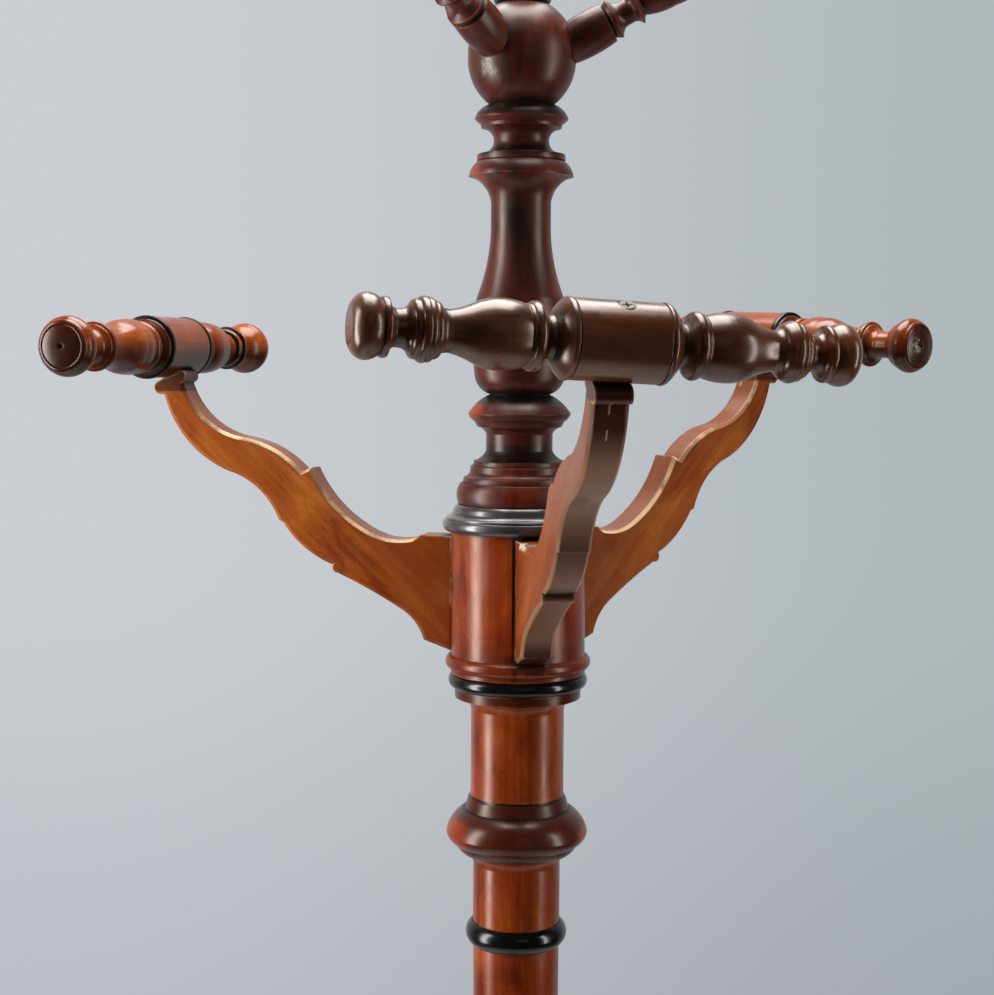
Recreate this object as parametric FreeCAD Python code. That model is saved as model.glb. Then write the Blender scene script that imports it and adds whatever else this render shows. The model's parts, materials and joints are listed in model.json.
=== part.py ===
import FreeCAD, Part
import math
import os
from FreeCAD import Placement, Rotation, Vector

# A turned-wood coat stand. Three scroll legs carry a column of turned sections that are spigoted
# together through ebonised rings. Three fretsawn brackets dovetail into a drum, each with a turned
# hanger bar screwed to its head, and a crown with three slanting hat pegs stands on the drum.
# Lengths are in mm and angles in degrees. The floor is z = 0, the column stands on the Z axis,
# and the front bracket points to -Y.

# Joinery
glue_gap = 0.1
seat_gap = 0.15
spigot_radius = 16.0
spigot_length = 40.0
blind_room = 1.5
key_depth = 11.0
key_neck_width = 12.0
key_back_width = 16.0
key_overlap = 1.0
same_place = 0.01

# Places round the column
arm_azimuths = {"front": -90.0, "right": 32.6, "left": 155.0}
leg_azimuths = {"back": 90.0, "right": -30.0, "left": 210.0}
peg_azimuths = {"right": -17.5, "back": 102.5, "left": 222.5}

# Legs
leg_reach = 288.0
leg_root_top = 240.0
leg_thickness = 28.0
leg_neck_width = 25.0
leg_foot_height = 14.0
leg_foot_nose = 9.0

# Brackets
bracket_thickness = 22.0
bracket_neck_width = 17.5
bracket_chamfer = 2.2
capital_height = 10.0
capital_lean = 28.0
capital_offset = 5.6
bead_nose = 5.0

# Hanger bars
bar_reach = 268.0
bar_height_above_drum = 132.3
bar_lifts = {"front": -0.5, "right": 2.2, "left": -6.0}
bar_slides = {"front": 1.0, "right": 5.0, "left": 2.2}
bar_seat_depth = 1.7
bar_tilts = {"front": -3.0, "right": 1.5, "left": 0.3}
bar_twists = {"front": 6.0, "right": -1.5, "left": 0.0}
bar_centre_dimple = 2.2

# Screws that hold the bars
screw_lean = 26.0
screw_shift = 5.5
screw_head_radius = 5.0
screw_shank_radius = 2.4
screw_head_depth = 3.0
screw_grip = 18.0
screw_sink = 0.6
screw_slot_width = 1.2
screw_slot_length = 5.6
screw_slot_depth = 1.8

# Hat pegs
peg_lift = 28.5
peg_drop = 10.0
peg_tenon_radius = 8.0
peg_tenon_length = 14.0

# Body radii and heights of the turned sections
lower_taper_length = 292.0
baluster_neck_length = 165.0
hub_radius = 50.0
lower_shaft_radius = 33.0
baluster_neck_radius = 30.7
middle_shaft_radius = 31.0
drum_radius = 47.2
drum_body_height = 86.7
crown_foot_radius = 44.6
crown_waist_radius = 20.8
ball_radius = 37.2
finial_neck_radius = 9.0
ball_spigot_radius = 11.0
ball_spigot_length = 20.0
finial_spigot_radius = 7.0
finial_spigot_length = 14.0

# Mouldings of the turned sections, from the bottom up. A row is the moulding's name, how far it
# stands out from the section's body radius at its upper end, its rise, and its bulge: a bead swells
# by that much between its ends, a negative bulge is a cove, and a rise of 0 is a flat shoulder.
drop_mouldings = [
    ("button", -28.0, 0.0, 0.0),
    ("knob", -26.0, 26.0, 11.0),
    ("neck cove", -24.0, 7.0, -2.0),
    ("cap edge", 4.0, 0.0, 0.0),
    ("cap bead", 4.0, 9.0, 2.0),
]
hub_flange_mouldings = [
    ("bead foot", 0.5, 2.0, 0.0),
    ("bead", 0.5, 10.0, 3.8),
    ("top fillet", -2.5, 3.0, 0.0),
]
base_ring_mouldings = [
    ("edge", -4.0, 0.0, 0.0),
    ("torus", -4.0, 13.0, 5.0),
]
lower_shaft_mouldings = [
    ("edge", 9.0, 0.0, 0.0),
    ("fillet", 9.0, 6.0, 0.0),
    ("roll", 7.0, 15.0, 3.0),
    ("step", 4.0, 0.0, 0.0),
    ("band", 3.5, 8.0, 0.0),
    ("cove", 0.0, 9.0, -2.0),
    ("long taper", -4.0, lower_taper_length, 3.0),
    ("lip", -1.5, 4.0, -0.6),
    ("small fillet", -1.0, 7.0, 0.0),
    ("half round", 3.0, 12.0, 4.0),
    ("edge above", 1.0, 0.0, 0.0),
    ("head cove", -3.0, 9.0, -1.6),
    ("head", -3.0, 31.0, 0.0),
    ("collar cove", 4.0, 7.0, -1.5),
    ("collar fillet", 5.0, 6.0, 0.0),
]
baluster_ring_mouldings = [
    ("edge", 2.5, 0.0, 0.0),
    ("torus", 2.5, 14.0, 4.6),
]
baluster_mouldings = [
    ("edge", 6.0, 0.0, 0.0),
    ("foot fillet", 6.0, 6.0, 0.0),
    ("foot cove", -3.0, 10.0, -2.0),
    ("neck", -3.0, 10.0, 0.0),
    ("collar cove", 4.0, 5.0, -1.0),
    ("collar fillet", 5.5, 5.0, 0.0),
    ("collar edge", 11.0, 4.0, 0.0),
    ("half round", -4.0, 14.0, 1.6),
    ("bulb", 13.0, 22.0, 4.6),
    ("belly", 10.0, 96.0, 3.2),
    ("long neck", 0.0, baluster_neck_length, -3.2),
    ("upper neck", 0.0, 14.0, 0.0),
]
lower_ring_mouldings = [
    ("edge", 1.2, 0.0, 0.0),
    ("torus", 1.2, 16.0, 4.2),
]
middle_shaft_mouldings = [
    ("edge", 0.0, 0.0, 0.0),
    ("plain shaft", 0.0, 42.5, 0.0),
    ("cove", 8.0, 8.5, -2.2),
    ("under fillet", 12.5, 6.0, 0.6),
    ("collar edge", 13.5, 0.5, 0.0),
    ("collar lower round", 19.3, 8.0, 1.2),
    ("collar upper round", 7.5, 16.5, 2.2),
    ("collar step", 6.0, 0.0, 0.0),
    ("collar fillet", 3.8, 8.0, 0.0),
    ("small cove", 2.0, 5.0, -0.5),
    ("upper shaft", 2.0, 59.0, 0.0),
    ("head cove", 12.5, 8.5, -2.6),
    ("head step", 13.4, 0.0, 0.0),
    ("head fillet", 13.8, 7.0, 0.0),
]
upper_ring_mouldings = [
    ("edge", -2.2, 0.0, 0.0),
    ("torus", -2.2, 10.5, 4.2),
]
drum_flange_mouldings = [
    ("edge", 0.4, 0.0, 0.0),
    ("fillet", 0.4, 3.0, 0.0),
    ("bead", 0.2, 10.0, 3.8),
    ("quirk", 0.0, 1.0, 0.0),
]
crown_foot_mouldings = [
    ("edge", 6.4, 0.0, 0.0),
    ("band", 8.0, 8.0, 2.0),
    ("quirk", 6.2, 0.0, 0.0),
    ("upper edge", 6.2, 2.0, 0.4),
    ("ogee", 1.6, 4.6, -1.0),
    ("upper slope", -1.0, 3.9, 0.4),
]
crown_mouldings = [
    ("edge", 21.5, 0.0, 0.0),
    ("roll", 20.3, 15.0, 2.2),
    ("step", 18.4, 0.0, 0.0),
    ("lower fillet", 17.9, 4.0, 0.3),
    ("small cove", 13.7, 3.6, -0.7),
    ("second fillet", 13.4, 4.2, 0.0),
    ("second step", 11.4, 0.3, 0.0),
    ("third fillet", 11.0, 3.3, 0.2),
    ("cove", 2.5, 7.4, -1.4),
    ("neck", 2.5, 11.5, 0.0),
    ("collar cove", 8.8, 5.0, -1.0),
    ("collar fillet", 10.6, 3.5, 0.0),
    ("collar edge", 15.2, 5.5, 0.6),
    ("half round", 0.0, 13.5, 1.6),
    ("bulb", 10.8, 12.8, 2.5),
    ("belly", 9.8, 53.7, 1.9),
    ("waist cove", 0.0, 50.0, -2.4),
    ("waist", 0.0, 16.0, 0.0),
    ("upper cove", 13.0, 17.2, -2.9),
    ("ring edge", 15.6, 0.5, 0.0),
    ("ring round", 8.8, 10.8, 1.3),
    ("collar step", 9.8, 0.0, 0.0),
    ("collar band", 9.4, 4.2, 0.2),
    ("collar shoulder", 2.6, 2.0, -0.2),
    ("neck cove", 2.8, 14.8, -4.4),
    ("top shoulder", 7.0, 1.4, -0.2),
    ("top fillet", 7.4, 2.2, 0.0),
    ("top underside", 11.4, 3.4, 0.0),
    ("top edge", 11.6, 0.4, 0.0),
    ("top round", 1.4, 9.6, 1.9),
]
ball_mouldings = [
    ("edge", -15.6, 0.0, 0.0),
    ("lower half", 0.0, 32.9, 4.7),
    ("upper half", -19.8, 35.2, 5.8),
]
finial_mouldings = [
    ("edge", 9.2, 0.0, 0.0),
    ("collar", 9.2, 7.0, 1.6),
    ("cove", 0.0, 9.0, -2.0),
    ("ring edge", 5.5, 1.0, 0.0),
    ("ring", 5.5, 4.5, 1.4),
    ("urn", 9.0, 15.0, 3.4),
    ("shoulder", -3.0, 16.0, 2.2),
    ("tip", -7.0, 14.0, 1.2),
]

# Hanger bars, from the middle to the end, in rows like those above. The front bar's three beads
# step down towards its screw on one arm and towards its knob on the other.
front_bar_barrel_radius = 22.6
front_bar_barrel_half_length = 26.0
front_bar_vase_mouldings = [
    ("quirk", -0.8, 0.5, 0.0),
    ("flange edge", 0.3, 0.5, 0.0),
    ("flange", 0.0, 2.5, 0.3),
    ("shoulder", -10.3, 7.0, 0.9),
    ("neck", -10.7, 3.4, -0.3),
    ("ring cove", -4.6, 3.9, -0.5),
    ("ring", -4.2, 5.4, 1.1),
    ("ring quirk", -4.8, 0.3, 0.0),
    ("ring fillet", -5.5, 2.1, 0.4),
    ("vase foot", -2.9, 14.6, 0.7),
    ("vase", -6.2, 13.8, 0.9),
    ("vase taper", -10.9, 13.4, -0.5),
    ("vase neck", -10.7, 2.8, -0.1),
]
front_bar_rising_beads = [
    ("bead cove", -9.6, 2.4, -0.3),
    ("small bead", -6.8, 4.3, 0.9),
    ("middle bead edge", -6.3, 0.3, 0.0),
    ("middle bead", -5.3, 3.3, 0.6),
    ("large bead edge", -5.0, 0.3, 0.0),
    ("large bead", -5.8, 4.1, 0.7),
    ("outer bead edge", -6.6, 0.3, 0.0),
    ("outer bead", -8.5, 4.4, 0.9),
    ("bead flank", -11.7, 3.3, -0.4),
]
front_bar_falling_beads = [
    ("bead flank", -8.7, 2.4, -0.3),
    ("inner bead", -5.6, 4.6, 0.6),
    ("large bead edge", -5.3, 0.3, 0.0),
    ("large bead", -5.6, 4.0, 0.6),
    ("middle bead edge", -6.1, 0.3, 0.0),
    ("middle bead", -6.9, 3.1, 0.6),
    ("small bead edge", -7.4, 0.3, 0.0),
    ("small bead", -9.5, 3.1, 0.6),
    ("bead foot", -11.7, 1.9, -0.2),
]
front_bar_knob_mouldings = [
    ("end neck", -12.2, 5.0, -0.2),
    ("collar flank", -8.8, 3.3, -0.5),
    ("collar edge", -6.6, 0.6, 0.0),
    ("collar", -6.8, 3.5, 0.5),
    ("knob quirk", -7.6, 0.5, 0.0),
    ("knob inner round", -4.6, 7.4, 0.8),
    ("knob outer round", -8.0, 6.6, 0.9),
    ("knob end", -14.4, 2.2, 0.7),
]
side_bar_barrel_radius = 22.2
side_bar_barrel_half_length = 29.0
side_bar_mouldings = [
    ("quirk", -0.7, 0.5, 0.0),
    ("flange edge", 0.5, 0.5, 0.0),
    ("flange", 0.3, 3.0, 0.3),
    ("flange face", -2.0, 0.5, 0.0),
    ("face bead", -3.4, 1.6, 0.4),
    ("shoulder", -10.0, 2.9, 0.7),
    ("neck", -10.4, 2.6, 0.0),
    ("ring edge", -5.6, 1.4, -0.3),
    ("ring", -5.6, 6.4, 1.9),
    ("vase foot", -2.9, 18.6, 1.5),
    ("vase", -6.2, 15.0, 1.0),
    ("vase taper", -10.2, 18.0, -0.7),
    ("vase neck", -10.8, 3.0, -0.4),
    ("ring bead edge", -8.6, 0.6, 0.0),
    ("ring bead", -7.8, 5.0, 1.0),
    ("flange step", -5.6, 0.4, 0.0),
    ("end flange", -5.6, 3.0, 0.4),
    ("end face", -7.2, 0.4, 0.0),
    ("end bead", -8.4, 1.8, 0.5),
    ("end cove", -12.2, 7.4, -1.6),
    ("end neck", -12.4, 8.8, 0.0),
    ("knob inner round", -3.4, 11.6, 1.2),
    ("knob side", -4.4, 10.5, 1.9),
    ("knob rim", -7.6, 2.8, 0.7),
    ("face quirk", -8.2, -0.4, 0.0),
    ("knob face", -18.2, 1.7, 0.3),
]

# Hat pegs, from the ball outwards
peg_base_radius = 12.6
peg_mouldings = [
    ("base swell", 1.3, 36.0, 1.7),
    ("groove", -1.2, 0.6, 0.0),
    ("disc", 1.4, 4.6, 0.3),
    ("disc face", -1.2, 1.6, -0.2),
    ("cove", -4.1, 5.2, -0.8),
    ("waist", -4.1, 4.5, 0.0),
    ("second cove", -0.2, 5.0, -0.8),
    ("second disc", -0.3, 1.2, 0.2),
    ("second face", -4.3, 2.6, -0.4),
    ("egg base", -0.2, 21.0, 1.2),
    ("egg", -3.0, 24.0, 2.0),
    ("tip", -10.6, 8.0, 3.4),
]

# Scroll outline of the brackets and legs, as shares of the board's reach and of its rise. The root
# face stands at reach 0 and the neck at reach 1; the outline is a chain of arcs through a middle
# point and straight nicks. The inner edge starts with the flat top of the root and its nick.
root_top_share = 0.446
root_flat_rows = 2
inner_edge = [
    ("line", (0.104, 0.446)),
    ("line", (0.112, 0.438)),
    ("arc", (0.197, 0.424), (0.281, 0.448)),
    ("arc", (0.390, 0.531), (0.496, 0.696)),
    ("line", (0.529, 0.680)),
    ("arc", (0.629, 0.767), (0.741, 0.808)),
    ("arc", (0.875, 0.875), None),
]
outer_edge = [
    ("line", (0.094, 0.037)),
    ("arc", (0.125, 0.105), (0.175, 0.154)),
    ("arc", (0.278, 0.219), (0.404, 0.286)),
    ("arc", (0.4165, 0.298), (0.4165, 0.315)),
    ("arc", (0.511, 0.372), (0.600, 0.480)),
    ("line", (0.614, 0.485)),
    ("arc", (0.673, 0.590), (0.775, 0.666)),
    ("arc", (0.924, 0.762), None),
]


def arc_or_line(start, end, bulge):
    """Edge from start to end in the XZ plane that swells away from the Z axis by bulge."""
    if bulge == 0:
        return Part.makeLine(start, end)
    chord = end - start
    outward = Vector(chord.z, 0, -chord.x).normalize()
    middle = (start + end) * 0.5 + outward * bulge
    return Part.Arc(start, middle, end).toShape()


def height_of(mouldings):
    return sum(rise for name, projection, rise, bulge in mouldings)


def turned(body_radius, mouldings, base_z):
    """Solid turned on the Z axis, whose outline climbs from base_z through the moulding rows."""
    first = mouldings[0]
    point = Vector(body_radius + first[1], 0, base_z)
    edges = [Part.makeLine(Vector(0, 0, base_z), point)]
    for name, projection, rise, bulge in mouldings[1:]:
        end = Vector(body_radius + projection, 0, point.z + rise)
        edges.append(arc_or_line(point, end, bulge))
        point = end
    top = Vector(0, 0, point.z)
    edges.append(Part.makeLine(point, top))
    edges.append(Part.makeLine(top, Vector(0, 0, base_z)))
    face = Part.Face(Part.Wire(edges))
    return face.revolve(Vector(0, 0, 0), Vector(0, 0, 1), 360)


def with_spigot(solid, z, radius, length):
    """Adds a round tenon on the axis from z; a negative length points down."""
    start = min(z, z + length)
    return solid.fuse(Part.makeCylinder(radius, abs(length), Vector(0, 0, start))).removeSplitter()


def bored(solid, z, radius, depth):
    """Bores a socket on the axis from z; a negative depth goes down."""
    start = min(z, z + depth)
    return solid.cut(Part.makeCylinder(radius + glue_gap, abs(depth), Vector(0, 0, start)))


def turned_about_z(shape, azimuth):
    return shape.rotated(Vector(0, 0, 0), Vector(0, 0, 1), azimuth)


def edge_chain(start, rows, place, last):
    """Edges of one scroll edge, from start to last, with the rows placed by the given function."""
    edges = []
    point = start
    for row in rows:
        end = last if row[-1] is None else place(*row[-1])
        if row[0] == "arc":
            edges.append(Part.Arc(point, place(*row[1]), end).toShape())
        else:
            edges.append(Part.makeLine(point, end))
        point = end
    return edges


def scroll_board(seat_radius, root_z, sense, neck, lean, neck_width, bead_height, nose, thickness, chamfer):
    """Fretsawn scroll in the XZ plane: a coped root at seat_radius and a beaded end at the neck.

    sense is 1 for a scroll that climbs from root_z to its neck and -1 for one that falls. lean tips
    the beaded end outwards from upright, and nose is how far its half-round beads stand out.
    """
    along = Vector(math.sin(math.radians(lean)), 0, sense * math.cos(math.radians(lean)))
    across = Vector(math.cos(math.radians(lean)), 0, -sense * math.sin(math.radians(lean)))
    inner_neck = neck - across * (neck_width / 2)
    outer_neck = neck + across * (neck_width / 2)
    reach = neck.x - seat_radius
    rise = neck.z - root_z

    def place(reach_share, rise_share):
        return Vector(seat_radius + reach_share * reach, 0, root_z + rise_share * rise)

    sunk_root = -(seat_radius - math.sqrt(seat_radius ** 2 - thickness ** 2)) / reach
    root_inner = place(sunk_root, root_top_share)
    root_outer = place(sunk_root, 0)
    face_inner = place(0, root_top_share)
    face_outer = place(0, 0)
    inner = edge_chain(face_inner, inner_edge, place, inner_neck)
    outer = edge_chain(face_outer, outer_edge, place, outer_neck)
    inner_top = inner_neck + along * bead_height
    outer_top = outer_neck + along * bead_height
    inner_nose = (inner_neck + inner_top) * 0.5 - across * nose
    outer_nose = (outer_neck + outer_top) * 0.5 + across * nose
    bead = [
        Part.Arc(inner_neck, inner_nose, inner_top).toShape(),
        Part.makeLine(inner_top, outer_top),
        Part.Arc(outer_top, outer_nose, outer_neck).toShape(),
        Part.makeLine(outer_neck, inner_neck),
    ]
    root = [
        Part.makeLine(face_outer, root_outer),
        Part.makeLine(root_outer, root_inner),
        Part.makeLine(root_inner, face_inner),
    ]
    board = sawn(inner + [bead[-1]] + outer + root, thickness)
    if chamfer > 0:
        bevelled = inner[root_flat_rows:] + [edge for edge in outer if edge.Length > 4 * chamfer]
        board = chamfered(board, bevelled, chamfer, thickness)
    return board.fuse(sawn(bead, thickness)).removeSplitter()


def sawn(edges, thickness):
    """Board cut to a closed outline in the XZ plane, with its thickness halved to each side."""
    board = Part.Face(Part.Wire(Part.__sortEdges__(edges))).extrude(Vector(0, thickness, 0))
    board.translate(Vector(0, -thickness / 2, 0))
    return board


def chamfered(board, outline_edges, size, thickness):
    """Bevels the board's long arrises, found by the middle of each outline edge."""
    picked = []
    for outline in outline_edges:
        middle = outline.valueAt((outline.FirstParameter + outline.LastParameter) / 2)
        for side in (-thickness / 2, thickness / 2):
            wanted = middle + Vector(0, side, 0)
            for edge in board.Edges:
                here = edge.valueAt((edge.FirstParameter + edge.LastParameter) / 2)
                if (here - wanted).Length < same_place:
                    picked.append(edge)
    return board.makeChamfer(size, picked)


def dovetail_key(seat_radius, low_z, high_z, gap):
    """Sliding dovetail on the +X side of a drum, grown by gap on its sides and back."""
    back = seat_radius - key_depth - gap
    half_neck = key_neck_width / 2 + gap
    half_back = key_back_width / 2 + gap
    front = seat_radius + key_overlap
    corners = [Vector(back, -half_back, low_z), Vector(front, -half_neck, low_z),
               Vector(front, half_neck, low_z), Vector(back, half_back, low_z)]
    outline = Part.makePolygon(corners + corners[:1])
    return Part.Face(outline).extrude(Vector(0, 0, high_z - low_z))


def keyed_board(board, drum_solid_radius, height_span, low_z, high_z):
    """Copes a board's root to its drum and adds the dovetail key that slides into it."""
    room_z = low_z - height_span / 4
    drum_room = Part.makeCylinder(drum_solid_radius + glue_gap, height_span, Vector(0, 0, room_z))
    key = dovetail_key(drum_solid_radius, low_z, high_z, 0)
    return board.cut(drum_room).fuse(key).removeSplitter()


def turned_arm(barrel_radius, barrel_half_length, mouldings):
    """Half of a hanger bar, on the Z axis from its middle, with a lathe-centre dimple in its end."""
    rows = [("middle", 0.0, 0.0, 0.0), ("barrel", 0.0, barrel_half_length, 0.0)] + mouldings
    dimple_z = height_of(rows) - bar_centre_dimple
    dimple = Part.makeCone(0, bar_centre_dimple, bar_centre_dimple, Vector(0, 0, dimple_z))
    return turned(barrel_radius, rows, 0).cut(dimple)


def turned_bar(barrel_radius, barrel_half_length, near_rows, far_rows):
    """Hanger bar on the X axis, with the rows of its arm towards +X first."""
    near_arm = turned_arm(barrel_radius, barrel_half_length, near_rows)
    far_arm = turned_arm(barrel_radius, barrel_half_length, far_rows)
    bar = near_arm.fuse(far_arm.mirror(Vector(0, 0, 0), Vector(0, 0, 1))).removeSplitter()
    return bar.rotated(Vector(0, 0, 0), Vector(0, 1, 0), 90)


def countersunk_screw(length):
    """Cross-recess screw on the Z axis, with its flat head at z = 0 and its point down."""
    head = Part.makeCone(screw_shank_radius, screw_head_radius, screw_head_depth,
                         Vector(0, 0, -screw_head_depth))
    shank = Part.makeCylinder(screw_shank_radius, length - screw_head_depth - screw_head_radius,
                              Vector(0, 0, -length + screw_head_radius))
    tip = Part.makeCone(0.3, screw_shank_radius, screw_head_radius, Vector(0, 0, -length))
    screw = head.fuse([shank, tip]).removeSplitter()
    for angle in (0, 90):
        slot = Part.makeBox(screw_slot_length, screw_slot_width, screw_slot_depth,
                            Vector(-screw_slot_length / 2, -screw_slot_width / 2, -screw_slot_depth))
        screw = screw.cut(slot.rotated(Vector(0, 0, 0), Vector(0, 0, 1), angle))
    return screw


def screw_room(length):
    """Clearance round the countersunk screw, open above its head."""
    head = Part.makeCone(screw_shank_radius + glue_gap, screw_head_radius + glue_gap, screw_head_depth,
                         Vector(0, 0, -screw_head_depth))
    above = Part.makeCylinder(screw_head_radius + glue_gap, screw_head_radius, Vector(0, 0, 0))
    shank = Part.makeCylinder(screw_shank_radius + glue_gap, length + blind_room,
                              Vector(0, 0, -length - blind_room))
    return head.fuse([above, shank])


parts = {}

# Legs and base hub: the legs slide up into the hub and the drop closes their dovetails from below.
leg_neck = Vector(leg_reach, 0, leg_foot_height)
leg_root_low = leg_root_top - root_top_share * (leg_root_top - leg_foot_height)
hub_body_top = leg_root_top + glue_gap
hub_body_mouldings = [("edge", 0.0, 0.0, 0.0), ("body", 0.0, hub_body_top - leg_root_low, 0.0)]
hub_mouldings = hub_body_mouldings + hub_flange_mouldings
hub_top = leg_root_low + height_of(hub_mouldings)
hub = turned(hub_radius, hub_mouldings, leg_root_low)
hub = with_spigot(hub, hub_top, spigot_radius, height_of(base_ring_mouldings) + spigot_length)
hub = bored(hub, leg_root_low, spigot_radius, spigot_length + blind_room)
for place_name, azimuth in leg_azimuths.items():
    leg = scroll_board(hub_radius, leg_root_top, -1, leg_neck, 0.0, leg_neck_width, leg_foot_height,
                       leg_foot_nose, leg_thickness, 0)
    leg = keyed_board(leg, hub_radius, 2 * leg_root_top, leg_root_low, leg_root_top)
    parts["leg_" + place_name] = turned_about_z(leg, azimuth)
    slot = dovetail_key(hub_radius, leg_root_low, leg_root_top, glue_gap)
    hub = hub.cut(turned_about_z(slot, azimuth))
parts["base_hub"] = hub

drop = turned(hub_radius, drop_mouldings, leg_root_low - height_of(drop_mouldings))
parts["base_drop"] = with_spigot(drop, leg_root_low, spigot_radius, spigot_length)

# Column: each section's spigot passes through the ring above it into the next section.
base_ring = turned(hub_radius, base_ring_mouldings, hub_top)
base_ring_height = height_of(base_ring_mouldings)
parts["base_ring"] = bored(base_ring, hub_top, spigot_radius, base_ring_height)

lower_shaft_z = hub_top + base_ring_height
lower_shaft_top = lower_shaft_z + height_of(lower_shaft_mouldings)
lower_shaft = turned(lower_shaft_radius, lower_shaft_mouldings, lower_shaft_z)
lower_shaft = bored(lower_shaft, lower_shaft_z, spigot_radius, spigot_length + blind_room)
baluster_ring_height = height_of(baluster_ring_mouldings)
lower_shaft_spigot = baluster_ring_height + spigot_length
parts["lower_shaft"] = with_spigot(lower_shaft, lower_shaft_top, spigot_radius, lower_shaft_spigot)

baluster_ring = turned(lower_shaft_radius, baluster_ring_mouldings, lower_shaft_top)
parts["baluster_ring"] = bored(baluster_ring, lower_shaft_top, spigot_radius, baluster_ring_height)

baluster_z = lower_shaft_top + baluster_ring_height
baluster_top = baluster_z + height_of(baluster_mouldings)
baluster = turned(baluster_neck_radius, baluster_mouldings, baluster_z)
baluster = bored(baluster, baluster_z, spigot_radius, spigot_length + blind_room)
lower_ring_height = height_of(lower_ring_mouldings)
parts["baluster"] = with_spigot(baluster, baluster_top, spigot_radius, lower_ring_height + spigot_length)

lower_ring = turned(baluster_neck_radius, lower_ring_mouldings, baluster_top)
parts["lower_ring"] = bored(lower_ring, baluster_top, spigot_radius, lower_ring_height)

middle_shaft_z = baluster_top + lower_ring_height
middle_shaft_top = middle_shaft_z + height_of(middle_shaft_mouldings)
middle_shaft = turned(middle_shaft_radius, middle_shaft_mouldings, middle_shaft_z)
middle_shaft = bored(middle_shaft, middle_shaft_z, spigot_radius, spigot_length + blind_room)
upper_ring_height = height_of(upper_ring_mouldings)
middle_shaft_spigot = upper_ring_height + spigot_length
parts["middle_shaft"] = with_spigot(middle_shaft, middle_shaft_top, spigot_radius, middle_shaft_spigot)

upper_ring = turned(drum_radius, upper_ring_mouldings, middle_shaft_top)
parts["upper_ring"] = bored(upper_ring, middle_shaft_top, spigot_radius, upper_ring_height)

# Drum and brackets: each bar's place sets its bracket's head, and the drum takes the roots' height.
drum_z = middle_shaft_top + upper_ring_height
bracket_root_z = drum_z + height_of(drum_flange_mouldings)
lean = math.radians(capital_lean)
head_along = Vector(math.sin(lean), 0, math.cos(lean))
head_across = Vector(math.cos(lean), 0, -math.sin(lean))
bar_to_neck = side_bar_barrel_radius - bar_seat_depth + capital_height
neck_from_bar = head_across * capital_offset - head_along * bar_to_neck
drum_top = bracket_root_z + drum_body_height
bar_centre = Vector(bar_reach, 0, drum_top + bar_height_above_drum)

drum_mouldings = drum_flange_mouldings + [("body", 0.0, drum_top - bracket_root_z, 0.0)]
drum = turned(drum_radius, drum_mouldings, drum_z)
drum = bored(drum, drum_z, spigot_radius, spigot_length + blind_room)
drum = bored(drum, drum_top, spigot_radius, -spigot_length - blind_room)

front_near_rows = front_bar_vase_mouldings + front_bar_falling_beads + front_bar_knob_mouldings
front_far_rows = front_bar_vase_mouldings + front_bar_rising_beads + front_bar_knob_mouldings
side_design = (side_bar_barrel_radius, side_bar_barrel_half_length, side_bar_mouldings, side_bar_mouldings)
bar_designs = {
    "front": (front_bar_barrel_radius, front_bar_barrel_half_length, front_near_rows, front_far_rows),
    "right": side_design,
    "left": side_design,
}
screws = []
for place_name, azimuth in arm_azimuths.items():
    barrel_radius = bar_designs[place_name][0]
    side_centre = bar_centre + Vector(0, 0, bar_lifts[place_name])
    centre = side_centre + head_along * (barrel_radius - side_bar_barrel_radius)

    # The bar lies across the bracket, slid along its axis, then tips and twists to its seat.
    bar = turned_bar(*bar_designs[place_name])
    bar.translate(Vector(bar_slides[place_name], 0, 0))
    seat = Part.makeCylinder(barrel_radius + seat_gap, 2 * bracket_thickness,
                             Vector(-bracket_thickness, 0, 0), Vector(1, 0, 0))
    bar_turn = Rotation(Vector(0, 0, 1), 90 + bar_twists[place_name])
    bar_tip = Rotation(Vector(1, 0, 0), bar_tilts[place_name])
    bar_place = Placement(centre, bar_tip.multiply(bar_turn))
    bar.Placement = bar_place.multiply(bar.Placement)
    seat.Placement = bar_place.multiply(seat.Placement)

    screw_length = 2 * barrel_radius + screw_grip
    screw_turn = Rotation(Vector(0, 1, 0), screw_lean)
    screw_head = centre + screw_turn.multVec(Vector(0, screw_shift, barrel_radius - screw_sink))
    screw_place = Placement(screw_head, screw_turn)
    screw = countersunk_screw(screw_length)
    screw.Placement = screw_place.multiply(screw.Placement)
    room = screw_room(screw_length)
    room.Placement = screw_place.multiply(room.Placement)

    neck = side_centre + neck_from_bar
    root_high = bracket_root_z + root_top_share * (neck.z - bracket_root_z)
    bracket = scroll_board(drum_radius, bracket_root_z, 1, neck, capital_lean, bracket_neck_width,
                           capital_height, bead_nose, bracket_thickness, bracket_chamfer)
    bracket = keyed_board(bracket, drum_radius, 4 * drum_body_height, bracket_root_z, root_high)
    bracket = bracket.cut(seat).cut(room)
    parts["bracket_" + place_name] = turned_about_z(bracket, azimuth)
    parts["hanger_bar_" + place_name] = turned_about_z(bar.cut(room), azimuth)
    screws.append(turned_about_z(screw, azimuth))
    slot = dovetail_key(drum_radius, bracket_root_z, drum_top, glue_gap)
    drum = drum.cut(turned_about_z(slot, azimuth))
parts["bracket_drum"] = drum
parts["bar_screws"] = Part.makeCompound(screws)

# Crown: the foot ring covers the drum's dovetails and the crown's spigot passes through it.
crown_foot_height = height_of(crown_foot_mouldings)
crown_foot = turned(crown_foot_radius, crown_foot_mouldings, drum_top)
parts["crown_foot"] = bored(crown_foot, drum_top, spigot_radius, crown_foot_height)

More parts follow.
